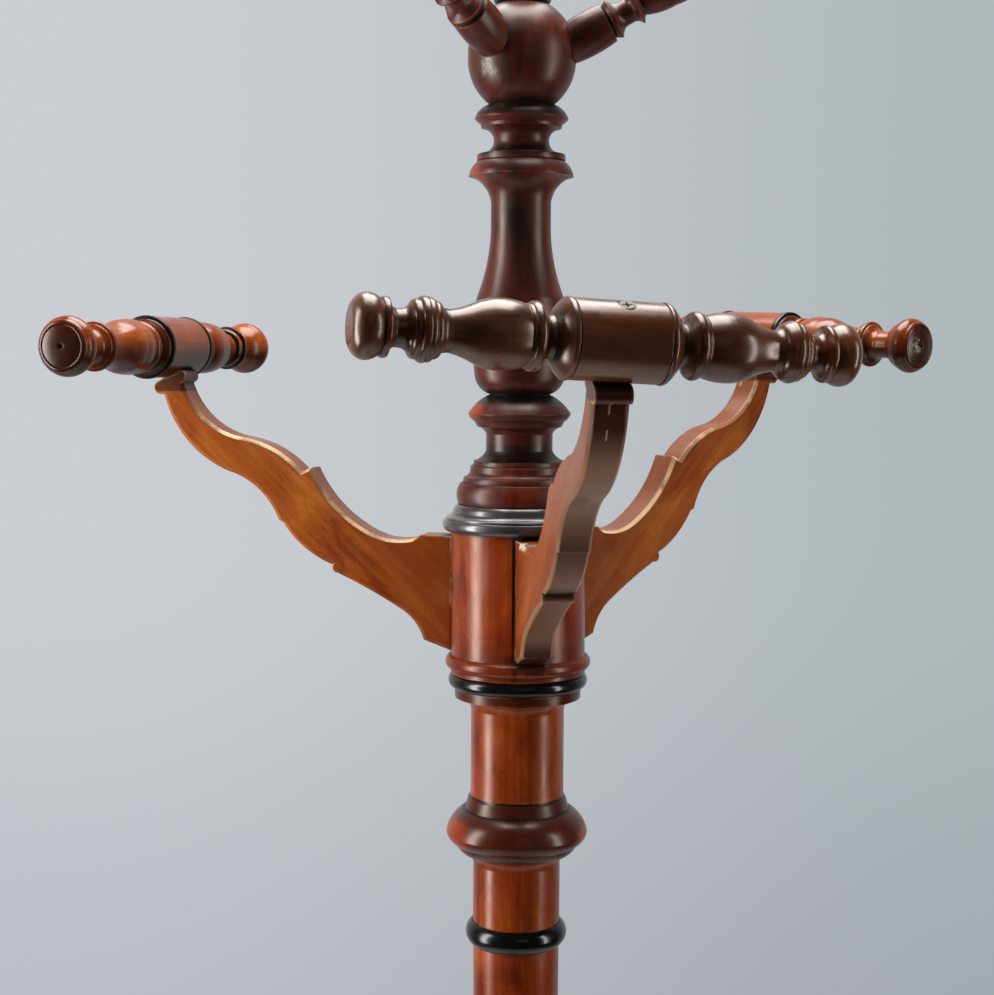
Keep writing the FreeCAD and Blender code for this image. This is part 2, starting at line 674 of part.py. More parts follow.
crown_z = drum_top + crown_foot_height
crown_top = crown_z + height_of(crown_mouldings)
crown = turned(crown_waist_radius, crown_mouldings, crown_z)
crown = with_spigot(crown, crown_z, spigot_radius, -crown_foot_height - spigot_length)
parts["crown_column"] = with_spigot(crown, crown_top, ball_spigot_radius, ball_spigot_length)

# Ball, pegs and finial
ball_top = crown_top + height_of(ball_mouldings)
ball = turned(ball_radius, ball_mouldings, crown_top)
ball = bored(ball, crown_top, ball_spigot_radius, ball_spigot_length + blind_room)
ball = bored(ball, ball_top, finial_spigot_radius, -finial_spigot_length - blind_room)
ball_centre = Vector(0, 0, crown_top + ball_mouldings[1][2])
ball_room = turned(ball_radius + seat_gap, ball_mouldings, crown_top)
for place_name, azimuth in peg_azimuths.items():
    shoulder = ball_radius - peg_base_radius / 2
    peg_rows = [("shoulder", 0.0, 0.0, 0.0)] + peg_mouldings
    peg_body = turned(peg_base_radius, peg_rows, shoulder)
    tenon_start = ball_radius - peg_tenon_length
    tenon = Part.makeCylinder(peg_tenon_radius, shoulder + peg_tenon_length, Vector(0, 0, tenon_start))
    socket_start = tenon_start - blind_room
    socket = Part.makeCylinder(peg_tenon_radius + glue_gap, ball_radius, Vector(0, 0, socket_start))
    peg_turn = Rotation(Vector(0, 0, 1), azimuth).multiply(Rotation(Vector(0, 1, 0), 90 - peg_lift))
    peg_place = Placement(ball_centre - Vector(0, 0, peg_drop), peg_turn)
    for shape in (peg_body, tenon, socket):
        shape.Placement = peg_place.multiply(shape.Placement)
    parts["hat_peg_" + place_name] = peg_body.cut(ball_room).fuse(tenon).removeSplitter()
    ball = ball.cut(socket)
parts["peg_ball"] = ball

finial = turned(finial_neck_radius, finial_mouldings, ball_top)
parts["finial"] = with_spigot(finial, ball_top, finial_spigot_radius, -finial_spigot_length)

os.makedirs("parts", exist_ok=True)
for node, shape in parts.items():
    shape.exportStep("parts/" + node + ".step")

heights = {
    "hub top": hub_top,
    "lower shaft top": lower_shaft_top,
    "baluster top": baluster_top,
    "middle shaft top": middle_shaft_top,
    "drum top": drum_top,
    "bars": bar_centre.z,
    "ball": ball_centre.z,
    "finial top": parts["finial"].BoundBox.ZMax,
}
for label, height in heights.items():
    print(label, round(height, 1))
for node, shape in parts.items():
    print(node, shape.isValid(), len(shape.Solids), round(shape.Volume / 1000, 1))
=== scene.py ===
import json
import math

import bpy
from mathutils import Matrix, Vector


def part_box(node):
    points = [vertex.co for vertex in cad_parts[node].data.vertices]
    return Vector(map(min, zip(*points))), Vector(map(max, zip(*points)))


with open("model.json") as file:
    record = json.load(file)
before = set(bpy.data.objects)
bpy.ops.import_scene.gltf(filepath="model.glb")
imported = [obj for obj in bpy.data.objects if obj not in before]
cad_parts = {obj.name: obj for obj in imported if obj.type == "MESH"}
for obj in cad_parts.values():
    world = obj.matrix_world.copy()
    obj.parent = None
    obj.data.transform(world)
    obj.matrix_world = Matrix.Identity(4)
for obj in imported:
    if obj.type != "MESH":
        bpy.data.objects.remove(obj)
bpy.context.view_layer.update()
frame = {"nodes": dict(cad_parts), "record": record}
nodes = frame["nodes"]
scene = bpy.context.scene


def srgb(red, green, blue):
    """Linear colour of an 8-bit display colour."""
    def linear(level):
        share = level / 255
        return share / 12.92 if share <= 0.04045 else ((share + 0.055) / 1.055) ** 2.4
    return (linear(red), linear(green), linear(blue), 1.0)


# Camera: metres from the column's axis and above the floor, angles in degrees, lens in millimetres
camera_distance = 1.227
camera_height = 1.4661
camera_turn = -10.9
camera_yaw = 0.72
camera_pitch = 5.01
camera_roll = 0.34
camera_lens = 63.4
camera_sensor = 36.0

# Studio lights: degrees round the column from the camera, metres away, metres up, size and power
light_target_height = 1.42
softboxes = {
    "left_softbox": {"turn": -76.0, "away": 1.6, "height": 1.45, "size": (0.42, 2.0), "power": 34.0},
    "right_softbox": {"turn": 70.0, "away": 1.7, "height": 1.45, "size": (0.24, 1.8), "power": 12.0},
    "top_softbox": {"turn": 184.0, "away": 0.25, "height": 2.75, "size": (1.1, 1.2), "power": 38.0},
    "front_fill": {"turn": 15.0, "away": 2.8, "height": 2.4, "size": (1.4, 1.4), "power": 1.0},
}

# Backdrop: its tone, lighter on the left as a painted fall of light, its shade by height, and the share
# that reflections find on the camera's side
backdrop_left = srgb(202, 206, 211)
backdrop_right = srgb(176, 183, 187)
backdrop_left_span = (-0.30, 0.25)
shade_low = srgb(234, 234, 236)
shade_high = srgb(255, 255, 255)
shade_height_span = (-0.42, -0.10)
backdrop_near_share = 0.04
backdrop_far_span = (0.15, 0.85)

# Even light: its tint, and its strength on the camera's side and on the far side
ambient_tint = (0.93, 0.96, 1.0, 1.0)
ambient_strengths = (0.03, 0.40)
ambient_far_span = (-0.2, 0.8)

# Floor: metres from the column to its rim and to where it starts to fade, and its paint
floor_radius = 1.5
floor_fade = 0.6
floor_steps = 96
floor_dark = srgb(206, 208, 210)
floor_light = srgb(216, 218, 220)
floor_roughness = 0.75

# Woods: tones of the grain, of grime and painted shade in the hollows, and of worn edges and painted
# highlights on them, polish, the share of those edges, and arris radius in metres
woods = {
    # satin_wood's pale edge tone is a painted highlight along its arrises
    "satin_wood": {
        "dark": srgb(134, 58, 16), "middle": srgb(172, 84, 25), "light": srgb(196, 108, 38),
        "grime_and_shade": srgb(44, 18, 9), "rubbed_and_highlight": srgb(240, 196, 140), "roughness": 0.31, "specular": 0.36,
        "tint": (1.0, 0.88, 0.76, 1.0), "coat": 0.0, "wear_and_highlight": 0.8, "contrast": 1.9, "arris": 0.0016,
    },
    "column_wood": {
        "dark": srgb(108, 35, 8), "middle": srgb(150, 57, 13), "light": srgb(186, 86, 24),
        "grime_and_shade": srgb(36, 14, 8), "rubbed_and_highlight": srgb(206, 124, 60), "roughness": 0.28, "specular": 0.50,
        "tint": (1.0, 0.86, 0.72, 1.0), "coat": 0.0, "wear_and_highlight": 0.5, "contrast": 1.8, "arris": 0.0007,
    },
    "dark_wood": {
        "dark": srgb(54, 15, 7), "middle": srgb(82, 25, 12), "light": srgb(114, 42, 17),
        "grime_and_shade": srgb(11, 6, 5), "rubbed_and_highlight": srgb(196, 98, 36), "roughness": 0.36, "specular": 0.58,
        "tint": (1.0, 0.88, 0.78, 1.0), "coat": 0.0, "wear_and_highlight": 0.45, "contrast": 1.6, "arris": 0.0007,
    },
    "red_wood": {
        "dark": srgb(90, 31, 9), "middle": srgb(140, 60, 17), "light": srgb(182, 92, 29),
        "grime_and_shade": srgb(14, 7, 6), "rubbed_and_highlight": srgb(220, 130, 60), "roughness": 0.25, "specular": 0.55,
        "tint": (1.0, 0.86, 0.74, 1.0), "coat": 0.0, "wear_and_highlight": 0.12, "contrast": 1.2, "arris": 0.0007,
    },
    "brown_wood": {
        "dark": srgb(58, 25, 10), "middle": srgb(92, 45, 19), "light": srgb(126, 69, 32),
        "grime_and_shade": srgb(9, 6, 5), "rubbed_and_highlight": srgb(176, 122, 80), "roughness": 0.27, "specular": 0.90,
        "tint": (1.0, 0.87, 0.75, 1.0), "coat": 0.0, "wear_and_highlight": 0.45, "contrast": 1.4, "arris": 0.0007,
    },
    "ebonised_wood": {
        "dark": srgb(11, 10, 10), "middle": srgb(16, 14, 14), "light": srgb(24, 21, 20),
        "grime_and_shade": srgb(7, 6, 6), "rubbed_and_highlight": srgb(74, 52, 40), "roughness": 0.20, "specular": 0.5,
        "tint": (1.0, 1.0, 1.0, 1.0), "coat": 0.10, "wear_and_highlight": 0.3, "contrast": 0.7, "arris": 0.0007,
    },
    # brushed_black's grey light tones and pale edge tone are painted sheen and painted highlights on the
    # black
    "brushed_black": {
        "dark": srgb(20, 18, 18), "middle": srgb(42, 38, 36), "light": srgb(84, 77, 72),
        "grime_and_shade": srgb(8, 7, 7), "rubbed_and_highlight": srgb(190, 176, 164), "roughness": 0.36, "specular": 1.0,
        "tint": (1.0, 0.96, 0.92, 1.0), "coat": 0.9, "wear_and_highlight": 0.9, "contrast": 1.2, "arris": 0.0007,
    },
}

# Pieces whose wood differs from the rest of their slot
own_woods = {
    "bracket_drum": "column_wood", "middle_shaft": "column_wood", "baluster": "column_wood",
    "lower_shaft": "column_wood", "base_hub": "column_wood", "crown_foot": "brushed_black",
}

# Noises: size across and along the grain in metres, detail, roughness and distortion
noises = {
    "streak": ((0.0042, 0.11), 5.0, 0.60, 0.25),
    "mottle": ((0.03, 0.07), 3.0, 0.50, 0.60),
    "fleck": ((0.0012, 0.004), 2.0, 0.55, 0.0),
    "smear": ((0.016, 0.024), 2.0, 0.50, 0.20),
    "scuff": ((0.0018, 0.0026), 3.0, 0.55, 0.0),
    "highlight_break": ((0.03, 0.03), 3.0, 0.55, 0.0),
    "speck": ((0.0009, 0.0016), 2.0, 0.55, 0.0),
    "filler": ((0.0012, 0.004), 2.0, 0.55, 0.0),
    "scratch": ((0.0008, 0.004), 4.0, 0.55, 0.0),
    "cloud": ((0.4, 0.4), 4.0, 0.55, 0.0),
}

# Run of the grain: degrees from upright, away from the column, and the shift from piece to piece
grain_tilts = {"bracket_": 48.0, "leg_": 130.0, "hat_peg_": 61.0}
grain_shift = (0.37, 0.91, 0.53)

# Figure of the wood: how much each noise counts, the spread of the tones, and the pores
streak_share = 0.28
fleck_share = 0.20
mottle_share = 0.52
tone_middle = 0.5
tone_spread = 0.2
pore_span = (0.55, 0.68)
pore_share = 0.5

# Grime and painted shade in the hollows, and worn edges with painted highlights: how far they reach in
# metres, and how the smears break them up
hollow_reach = 0.008
hollow_span = (0.35, 0.95)
hollow_smear_shares = (0.7, 1.0)
edge_reach = 0.0018
edge_span = (0.55, 0.90)
edge_smear_span = (0.42, 0.66)
smear_span = (0.30, 0.70)
occlusion_samples = 8

# Polish and relief: the smears' changes of roughness, and depths in metres
polish_changes = (-0.04, 0.05)
grime_dulling = 0.22
coat_roughness = 0.14
arris_samples = 6
relief_strength = 0.05
relief_depth = 0.0008

# Screws: zinc, its recess darkened with dirt and painted shade
zinc_dark = srgb(74, 54, 39)
zinc_light = srgb(108, 84, 63)
zinc_dirt_and_shade = srgb(14, 10, 8)
zinc_recess_reach = 0.0035
zinc_recess_span = (0.78, 0.97)
zinc_roughness = (0.42, 0.60)
zinc_metallic = 0.15
scratch_turn = (0.3, 0.2, 0.7)
scratch_span = (0.3, 0.7)
scratch_strength = 0.15
scratch_depth = 0.0003

# Stains and marks, with tones of painted shade, shadow, highlight and reflection among them
# Near black for soot, dark bands and holes, and for the painted shadow round the screw
soot_and_shadow = srgb(13, 10, 10)
# Painted shade under the side bars, painted shadow on the capitals, painted shade with grime on the
# drum's bead, and the dark barrel faces
shade_and_dark_stain = srgb(46, 17, 10)
seam_dark = srgb(20, 9, 6)
collar_red = srgb(66, 21, 10)
root_red = srgb(104, 34, 10)
dull_brown = srgb(120, 62, 32)
# Painted reflection on the side boards' upper faces
top_sheen_brown = srgb(114, 72, 56)
worn_orange = srgb(150, 56, 11)
# Painted highlight on the front board's outer arrises
chamfer_highlight = srgb(166, 122, 88)
# Painted highlight on the side boards' arrises
arris_highlight_cream = srgb(244, 204, 154)
# Tones of the front board's outer edge: painted shade and painted reflection over its brown
edge_light = srgb(154, 108, 78)
edge_brown = srgb(138, 92, 64)
edge_deep = srgb(98, 58, 39)
edge_red = srgb(82, 37, 22)
edge_black = srgb(40, 20, 13)
glue_pale = srgb(176, 160, 136)
filler_pale = srgb(150, 156, 138)
scuff_grey = srgb(176, 172, 170)
speck_pale = srgb(216, 176, 138)
chip_white = srgb(236, 222, 208)

# Outline of a mark: where it fades, as a share of its reach, and the noise that makes it ragged
spot_span = (0.5, 1.0)
ragged_scale = 1.6
ragged_detail = 3.0
ragged_span = (0.25, 0.75)

# Side bars: degrees turned and tipped from square to the bracket
bar_turns = {"hanger_bar_right": -1.5, "hanger_bar_left": 0.0}
bar_tips = {"hanger_bar_right": 1.5, "hanger_bar_left": 0.3}

# Side bars: soot and dark faces, from the middle outwards in metres, and a scuffed knob
soot_bands = ((0.0293, 0.0338), (0.1030, 0.1042), (0.1086, 0.1104))
soot_soft = 0.0004
barrel_face = (0.0338, 0.0390)
barrel_face_soft = 0.0006
barrel_face_share = 0.65
knob_face = (0.1535, 0.1555)
knob_face_share = 0.75
# Painted shade on the bars' undersides: how far a face turns down, and its share
bar_shade_span = (-0.45, 0.35)
bar_shade_share = 0.8
knob_scuff = ((0.3000, 0.0122, 1.4671), (0.0075, 0.0075, 0.0075), 0.0)
scuff_span = (0.5, 0.62)

# Front bar: middle of its screw, and the ring of painted shadow round it where it sits in its
# countersink, in metres
screw_middle = (0.0061, -0.2749, 1.4881)
screw_shadow_radii = (0.0047, 0.0064)
screw_shadow_soft = 0.0007
screw_shadow_share = 0.9

# Boards: metres from the column where they are dulled and reddened, the capital darkened by a painted
# shadow of the bar on it, and a worm hole
dulled_span = (0.06, 0.20)
dulled_shares = (0.2, 0.75)
root_span = (0.045, 0.15)
root_share = 0.55
capital_shade_depths = (0.0165, 0.0150)
capital_shade_share = 0.75
board_hole = ((-0.0964, 0.0408, 1.3304), (0.0017, 0.0017, 0.0017), 0.0)

# Front board's outer edge: its tone by height, painted shade and a painted reflection of the floor, its
# arrises pale with a painted highlight, glue runs and a chip, in metres
outer_way = (0.0, -1.0, -0.35)
outer_span = (0.05, 0.3)
edge_tones = (
    (1.2610, edge_red), (1.2720, edge_brown), (1.3030, edge_brown), (1.3095, edge_black),
    (1.3165, edge_brown), (1.3380, edge_deep), (1.3660, edge_brown), (1.3940, edge_light),
    (1.4180, edge_red),
)
outer_arris_span = (0.0088, 0.0096)
outer_arris_depths = (0.14, 0.05)
outer_arris_shares = (0.7, 0.2)
glue_heights = ((1.4280, 1.4335), (1.4132, 1.4183))
glue_height_soft = 0.001
glue_across = (-0.0012, -0.0004)
glue_across_soft = 0.0004
root_chip = ((-0.0098, -0.0660, 1.3315), (0.0040, 0.0065, 0.0040), 0.5)

# Side boards' upper edges: a painted reflection that greys their upper faces, and arrises with a painted
# highlight counted from the board's middle in metres, broken up by a noise
upper_span = (0.15, 0.45)
upper_share = 0.75
upper_arris_span = (0.0084, 0.0103)
highlight_break_span = (0.40, 0.60)
highlight_break_shares = (0.15, 0.9)

# Drum: seams beside the boards, counted from their middles, the darker, redder foot, painted shade with
# grime on the bead under the front board, and some specks, in metres
seam_across = (0.0105, 0.0128)
seam_across_soft = 0.0006
seam_ahead_span = (0.0, 0.01)
foot_rises = (0.012, 0.040)
foot_share = 0.65
bead_shade_and_grime = ((-0.0011, -0.0499, 1.2475), (0.0230, 0.0200, 0.0085), 0.3)
bead_shade_and_grime_share = 0.75
drum_specks = ((-0.0400, -0.0230, 1.2590), (0.0150, 0.0150, 0.0130), 0.0)
speck_span = (0.60, 0.74)
speck_shares = (0.0, 0.5)

# Middle shaft: its dark collar, by metres above the floor, and the flange under its head
collar_heights = (1.1062, 1.1472)
collar_soft = 0.0006
collar_share = 0.92
collar_lines = ((1.1462, 1.1472), (1.1368, 1.1378), (1.1118, 1.1126))
collar_line_soft = 0.0005
collar_wear = (
    ((-0.0490, -0.0110, 1.1225), (0.0250, 0.0270, 0.0140), 0.12),
    ((0.0440, -0.0230, 1.1195), (0.0150, 0.0180, 0.0090), 0.12),
)
collar_wear_share = 0.85
flange_depths = (0.060, 0.058)
flange_radii = (0.0355, 0.0385)
flange_share = 0.9

# Crown: grimy mouldings by metres above the floor, worn rings and a smudged neck
crown_grime_bands = ((1.3852, 1.3957), (1.4255, 1.4340), (1.5955, 1.6005), (1.6225, 1.6320))
crown_grime_soft = 0.0015
crown_grime_share = 0.85
ring_wear = (
    ((-0.0345, -0.0080, 1.5800), (0.0130, 0.0150, 0.0080), 0.12),
    ((-0.0340, -0.0060, 1.4200), (0.0140, 0.0170, 0.0075), 0.12),
)
ring_wear_share = 0.9
neck_smudge = ((-0.0075, -0.0197, 1.5490), (0.0105, 0.0120, 0.0230), 0.25)
neck_smudge_share = 0.8

# Ball: a filled chip and a worm hole
ball_chip = ((-0.0277, -0.0230, 1.6509), (0.0080, 0.0080, 0.0070), 0.4)
filler_turn = (0.5, 0.4, 0.2)
filler_span = (0.36, 0.66)
filler_shares = (0.15, 0.75)
ball_hole = ((-0.0174, -0.0268, 1.6414), (0.0013, 0.0013, 0.0013), 0.0)

# Directions and shares that the materials use often
upwards = (0.0, 0.0, 1.0)
sideways = (1.0, 0.0, 0.0)
level_only = (1.0, 1.0, 0.0)
no_vector = (0.0, 0.0, 0.0)
rising = (0.0, 1.0)
falling = (1.0, 0.0)
number_operations = ("DOT_PRODUCT", "LENGTH", "DISTANCE")


def fill(tree, node, inputs):
    """Sets each of a node's inputs to a number, vector or colour, or links it to another output."""
    for name, value in inputs.items():
        if isinstance(value, bpy.types.NodeSocket):
            tree.links.new(value, node.inputs[name])
        else:
            node.inputs[name].default_value = value


def add_node(tree, kind, inputs, **settings):
    """New shader node with its settings and inputs."""
    made = tree.nodes.new(kind)
    for name, value in settings.items():
        setattr(made, name, value)
    fill(tree, made, inputs)
    return made


def add_math(tree, operation, first, second=0.0, third=0.0):
    inputs = {0: first, 1: second, 2: third}
    return add_node(tree, "ShaderNodeMath", inputs, operation=operation).outputs[0]


def add_vector(tree, operation, first, second=no_vector):
    """Result of a vector operation: a number for products, lengths and distances."""
    made = add_node(tree, "ShaderNodeVectorMath", {0: first, 1: second}, operation=operation)
    return made.outputs["Value" if operation in number_operations else "Vector"]


def add_range(tree, value, span, shares=rising, curve="SMOOTHSTEP"):
    """The first share below the span, the second one above it, and a smooth step between them."""
    inputs = {
        "Value": value, "From Min": span[0], "From Max": span[1],
        "To Min": shares[0], "To Max": shares[1],
    }
    return add_node(tree, "ShaderNodeMapRange", inputs, interpolation_type=curve).outputs["Result"]


def add_band(tree, value, span, soft):
    """1 within the span, falling to 0 over the soft width on both sides."""
    low, high = span
    rise = add_range(tree, value, (low - soft, low))
    return add_math(tree, "MULTIPLY", rise, add_range(tree, value, (high, high + soft), falling))


def add_mix(tree, factor, first, second, blend="MIX"):
    """Mix of two colours, which are the node's inputs 6 and 7 and its output 2."""
    inputs = {0: factor, 6: first, 7: second}
    return add_node(tree, "ShaderNodeMix", inputs, data_type="RGBA", blend_type=blend).outputs[2]


def stain(tree, colour, tone, mask, share=1.0):
    """Colour with a tone laid over it where the mask is set, at most by the share."""
    return add_mix(tree, add_math(tree, "MULTIPLY", mask, share), colour, tone)


def add_ramp(tree, share, steps, curve="LINEAR"):
    """Tone by a share from 0 to 1; each step is a level and its tone, from low to high."""
    made = add_node(tree, "ShaderNodeValToRGB", {"Fac": share})
    made.color_ramp.interpolation = curve
    stops = made.color_ramp.elements
    stops[0].position = steps[0][0]
    stops[0].color = steps[0][1]
    stops[1].position = steps[-1][0]
    stops[1].color = steps[-1][1]
    for level, tone in steps[1:-1]:
        stops.new(level).color = tone
    return made.outputs["Color"]


def add_noise(tree, place, name, turn=no_vector, offset=no_vector):
    """Noise drawn out along the grain; turn carries Z to the run of the grain."""
    (across, along), detail, roughness, distortion = noises[name]
    stretch = {"Vector": place, "Location": offset, "Rotation": turn, "Scale": (across, across, along)}
    stretched = add_node(tree, "ShaderNodeMapping", stretch, vector_type="TEXTURE").outputs["Vector"]
    inputs = {
        "Vector": stretched, "Scale": 1.0, "Detail": detail, "Roughness": roughness,
        "Distortion": distortion,
    }
    return add_node(tree, "ShaderNodeTexNoise", inputs).outputs["Fac"]


def add_spot(tree, place, mark):
    """1 in the middle of a mark and 0 beyond it; a mark is a place, its reach and its raggedness."""
    centre, reach, ragged = mark
    scaled = add_vector(tree, "DIVIDE", add_vector(tree, "SUBTRACT", place, centre), reach)
    away = add_vector(tree, "LENGTH", scaled)
    if ragged:
        inputs = {"Vector": scaled, "Scale": ragged_scale, "Detail": ragged_detail}
        rough = add_node(tree, "ShaderNodeTexNoise", inputs).outputs["Fac"]
        away = add_math(tree, "ADD", away, add_range(tree, rough, ragged_span, (-ragged, ragged)))
    return add_range(tree, away, spot_span, falling)


def add_place(tree):
    return add_node(tree, "ShaderNodeTexCoord", {}).outputs["Object"]


def add_height(tree, place):
    return add_node(tree, "ShaderNodeSeparateXYZ", {"Vector": place}).outputs["Z"]


def add_radius(tree, place):
    """Distance from the column's axis."""
    return add_vector(tree, "LENGTH", add_vector(tree, "MULTIPLY", place, level_only))


def add_facing(tree, way, normal="True Normal"):
    """How far a face is turned towards a direction."""
    geometry = add_node(tree, "ShaderNodeNewGeometry", {})
    return add_vector(tree, "DOT_PRODUCT", geometry.outputs[normal], way)


def add_occlusion(tree, reach, inside=False):
    """1 in the open, less in a hollow, or less at an edge when it looks inside."""
    inputs = {"Distance": reach}
    made = add_node(tree, "ShaderNodeAmbientOcclusion", inputs, samples=occlusion_samples, inside=inside)
    return made.outputs["AO"]


def new_material(name):
    material = bpy.data.materials.new(name)
    material.use_nodes = True
    tree = material.node_tree
    return material, tree, tree.nodes["Principled BSDF"]


def wood_material(name, wood, turn, offset, touch):
    """Polished wood whose grain runs along Z turned by the given angles; touch adds its own marks."""
    material, tree, shader = new_material(name)
    place = add_place(tree)
    streak = add_noise(tree, place, "streak", turn, offset)
    mottle = add_noise(tree, place, "mottle", turn, offset)
    fleck = add_noise(tree, place, "fleck", turn, offset)
    smear = add_noise(tree, place, "smear", turn, offset)

    # Figure of the wood
    figure = add_math(tree, "MULTIPLY", mottle, mottle_share)
    figure = add_math(tree, "MULTIPLY_ADD", fleck, fleck_share, figure)
    figure = add_math(tree, "MULTIPLY_ADD", streak, streak_share, figure)
    spread = tone_spread / wood["contrast"]
    dark_step = (tone_middle - spread, wood["dark"])
    light_step = (tone_middle + spread, wood["light"])
    colour = add_ramp(tree, figure, (dark_step, (tone_middle, wood["middle"]), light_step), "EASE")
    colour = stain(tree, colour, wood["dark"], add_range(tree, fleck, pore_span), pore_share)
    colour = touch(tree, place, colour)

    # Grime and painted shade in the hollows, and bare wood and painted highlights on the edges
    hollow_darkening = add_range(tree, add_occlusion(tree, hollow_reach), hollow_span, falling)
    broken = add_range(tree, smear, smear_span, hollow_smear_shares)
    colour = stain(tree, colour, wood["grime_and_shade"], hollow_darkening, broken)
    rubbed_and_highlight = add_range(tree, add_occlusion(tree, edge_reach, inside=True), edge_span, falling)
    patchy = add_range(tree, smear, edge_smear_span, (0.0, wood["wear_and_highlight"]))
    colour = stain(tree, colour, wood["rubbed_and_highlight"], rubbed_and_highlight, patchy)

    # Polish: smeared, and dull in the hollows
    polish_shares = [wood["roughness"] + change for change in polish_changes]
    polish = add_range(tree, smear, smear_span, polish_shares)
    dulled = add_math(tree, "MULTIPLY_ADD", hollow_darkening, grime_dulling, polish)

    # Relief: rounded arrises and a faint unevenness
    rounded = add_node(tree, "ShaderNodeBevel", {"Radius": wood["arris"]}, samples=arris_samples)
    bump = {
        "Strength": relief_strength, "Distance": relief_depth, "Height": smear,
        "Normal": rounded.outputs["Normal"],
    }
    relieved = add_node(tree, "ShaderNodeBump", bump).outputs["Normal"]
    finish = {
        "Base Color": colour, "Roughness": dulled, "Specular IOR Level": wood["specular"],
        "Specular Tint": wood["tint"], "Coat Weight": wood["coat"], "Coat Roughness": coat_roughness,
        "Normal": relieved, "Coat Normal": relieved,
    }
    fill(tree, shader, finish)
    return material


def screw_material():
    """Dull zinc, darkened in the recess with dirt and painted shade."""
    material, tree, shader = new_material("screw_steel")
    scratch = add_noise(tree, add_place(tree), "scratch", scratch_turn)
    recess_darkening = add_range(tree, add_occlusion(tree, zinc_recess_reach), zinc_recess_span, falling)
    zinc = add_mix(tree, scratch, zinc_dark, zinc_light)
    bump = {"Strength": scratch_strength, "Distance": scratch_depth, "Height": scratch}
    finish = {
        "Base Color": add_mix(tree, recess_darkening, zinc, zinc_dirt_and_shade),
        "Roughness": add_range(tree, scratch, scratch_span, zinc_roughness),
        "Metallic": zinc_metallic,
        "Normal": add_node(tree, "ShaderNodeBump", bump).outputs["Normal"],
    }
    fill(tree, shader, finish)
    return material


def azimuth_of(name):
    """Direction of a node's middle from the column, about Z."""
    low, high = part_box(name)
    return math.atan2(low.y + high.y, low.x + high.x)


def grain_turn(name):
    """Angles that carry Z to the run of a node's grain; turned sections have theirs upright."""
    if name.startswith("hanger_bar_"):
        return (0.0, math.pi / 2, azimuth_of(name) + math.pi / 2)
    for start, tilt in grain_tilts.items():
        if name.startswith(start) and name != "bracket_drum":
            return (0.0, math.radians(tilt), azimuth_of(name))
    return no_vector


def bar_run(name):
    """Middle of a side bar and the direction of its axis."""
    low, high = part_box(name)
    square = azimuth_of(name.replace("hanger_bar", "bracket")) + math.pi / 2
    turn = square + math.radians(bar_turns[name])
    tip = math.radians(bar_tips[name])
    flat = math.cos(tip)
    return (low + high) / 2, Vector((flat * math.cos(turn), flat * math.sin(turn), math.sin(tip)))


def plain_touch(tree, place, colour):
    return colour


def side_bar_touch(name):
    """Painted shade underneath, sooty grooves and faces, and scuffs on the right knob."""
    middle, run = bar_run(name)

    def touch(tree, place, colour):
        along = add_vector(tree, "DOT_PRODUCT", add_vector(tree, "SUBTRACT", place, middle), run)
        reach = add_math(tree, "ABSOLUTE", along)
        # Painted shade on the faces that turn down
        down = add_range(tree, add_facing(tree, upwards, "Normal"), bar_shade_span, falling)
        colour = stain(tree, colour, shade_and_dark_stain, down, bar_shade_share)
        face = add_band(tree, reach, barrel_face, barrel_face_soft)
        colour = stain(tree, colour, shade_and_dark_stain, face, barrel_face_share)
        for band in soot_bands:
            colour = stain(tree, colour, soot_and_shadow, add_band(tree, reach, band, soot_soft))
        colour = stain(tree, colour, soot_and_shadow, add_range(tree, reach, knob_face), knob_face_share)
        scuffed = add_range(tree, add_noise(tree, place, "scuff"), scuff_span)
        return stain(tree, colour, scuff_grey, add_spot(tree, place, knob_scuff), scuffed)
    return touch


def front_bar_touch(tree, place, colour):
    """A ring of painted shadow round the screw, where it sits in its countersink."""
    away = add_vector(tree, "DISTANCE", place, screw_middle)
    return stain(tree, colour, soot_and_shadow, add_band(tree, away, screw_shadow_radii, screw_shadow_soft), screw_shadow_share)


def front_edge_touch(tree, place, colour, across, height, top):
    """The front board's outer edge: bands of painted shade and painted floor reflection, arrises with a
    painted highlight, glue runs and a chipped root.
    """
    outer = add_range(tree, add_facing(tree, outer_way), outer_span)
    low = edge_tones[0][0]
    high = edge_tones[-1][0]
    steps = [((level - low) / (high - low), tone) for level, tone in edge_tones]
    # Painted shade and painted reflection of the floor, by height
    tone = add_ramp(tree, add_range(tree, height, (low, high), curve="LINEAR"), steps)
    colour = add_mix(tree, outer, colour, tone)
    # Painted highlight on the outer arrises
    arris = add_math(tree, "MULTIPLY", outer, add_range(tree, across, outer_arris_span))
    arris_span = [top - depth for depth in outer_arris_depths]
    chamfer_light_share = add_range(tree, height, arris_span, outer_arris_shares)
    colour = stain(tree, colour, chamfer_highlight, arris, chamfer_light_share)
    run = add_band(tree, add_vector(tree, "DOT_PRODUCT", place, sideways), glue_across, glue_across_soft)
    for heights in glue_heights:
        drip = add_math(tree, "MULTIPLY", run, add_band(tree, height, heights, glue_height_soft))
        colour = stain(tree, colour, glue_pale, drip, outer)
    return stain(tree, colour, chip_white, add_spot(tree, place, root_chip))


def upper_edge_touch(tree, place, colour, across):
    """A side board's upper edge: a painted reflection that greys it, with a painted highlight on its
    arrises.
    """
    upper = add_range(tree, add_facing(tree, upwards), upper_span)
    colour = stain(tree, colour, top_sheen_brown, upper, upper_share)
    arris = add_math(tree, "MULTIPLY", upper, add_range(tree, across, upper_arris_span))
    # The pale arrises are a painted highlight, broken up by a noise
    worn = add_range(tree, add_noise(tree, place, "highlight_break"), highlight_break_span, highlight_break_shares)
    return stain(tree, colour, arris_highlight_cream, arris, worn)


